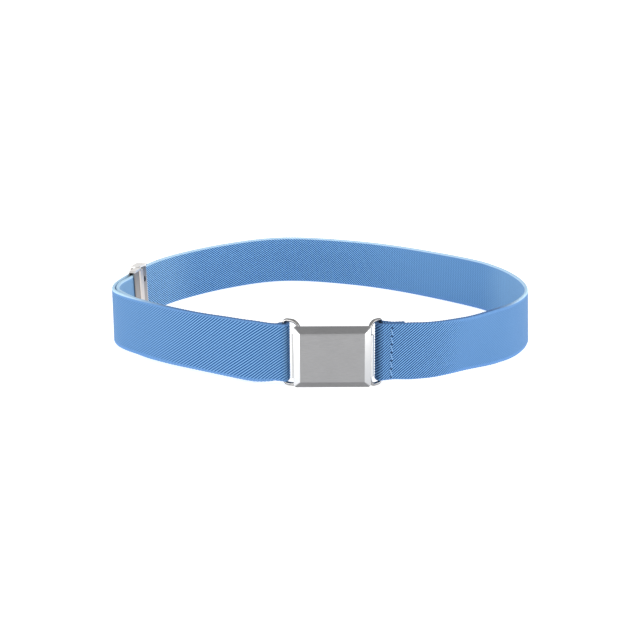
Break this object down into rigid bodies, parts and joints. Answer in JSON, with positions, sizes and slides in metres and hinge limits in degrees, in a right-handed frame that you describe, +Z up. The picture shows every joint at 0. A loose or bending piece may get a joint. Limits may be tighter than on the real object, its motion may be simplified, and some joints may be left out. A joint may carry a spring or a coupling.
{
  "type": "elastic belt with metal buckle",
  "caption": "Stretch belt of woven elastic, fastened in a loop by a bevelled metal buckle on wire rings, with a slide adjuster inside.",
  "frame": {"origin": "middle of the whole, on the surface that the belt's lower edge stands on", "axes": "+Z up across the strap's width, -Y from the back of the waist to the buckle, +X to the right of a viewer who faces the buckle"},
  "size_m": [0.193, 0.162, 0.0288],
  "materials": {
    "elastic": "woven, twill ribs",
    "buckle_front": "satin",
    "buckle_back": "satin",
    "left_wire": "bright",
    "right_wire": "bright",
    "slide_body": "satin",
    "slide_flap": "satin"
  },
  "bodies": {
    "belt": {"elastic_strap": "elastic", "buckle_front_plate": "buckle_front", "buckle_back_plate": "buckle_back", "left_ring": "left_wire", "right_ring": "right_wire", "slide_frame": "slide_body"},
    "lever": {"slide_lever": "slide_flap"}
  },
  "joints": [
    {"name": "slide_lever_hinge", "type": "hinge", "parent": "belt", "child": "lever", "pos_m": [-0.0885, 0.00653, 0.0144], "axis": [0, 0, -1], "range_deg": [0, 100]}
  ]
}
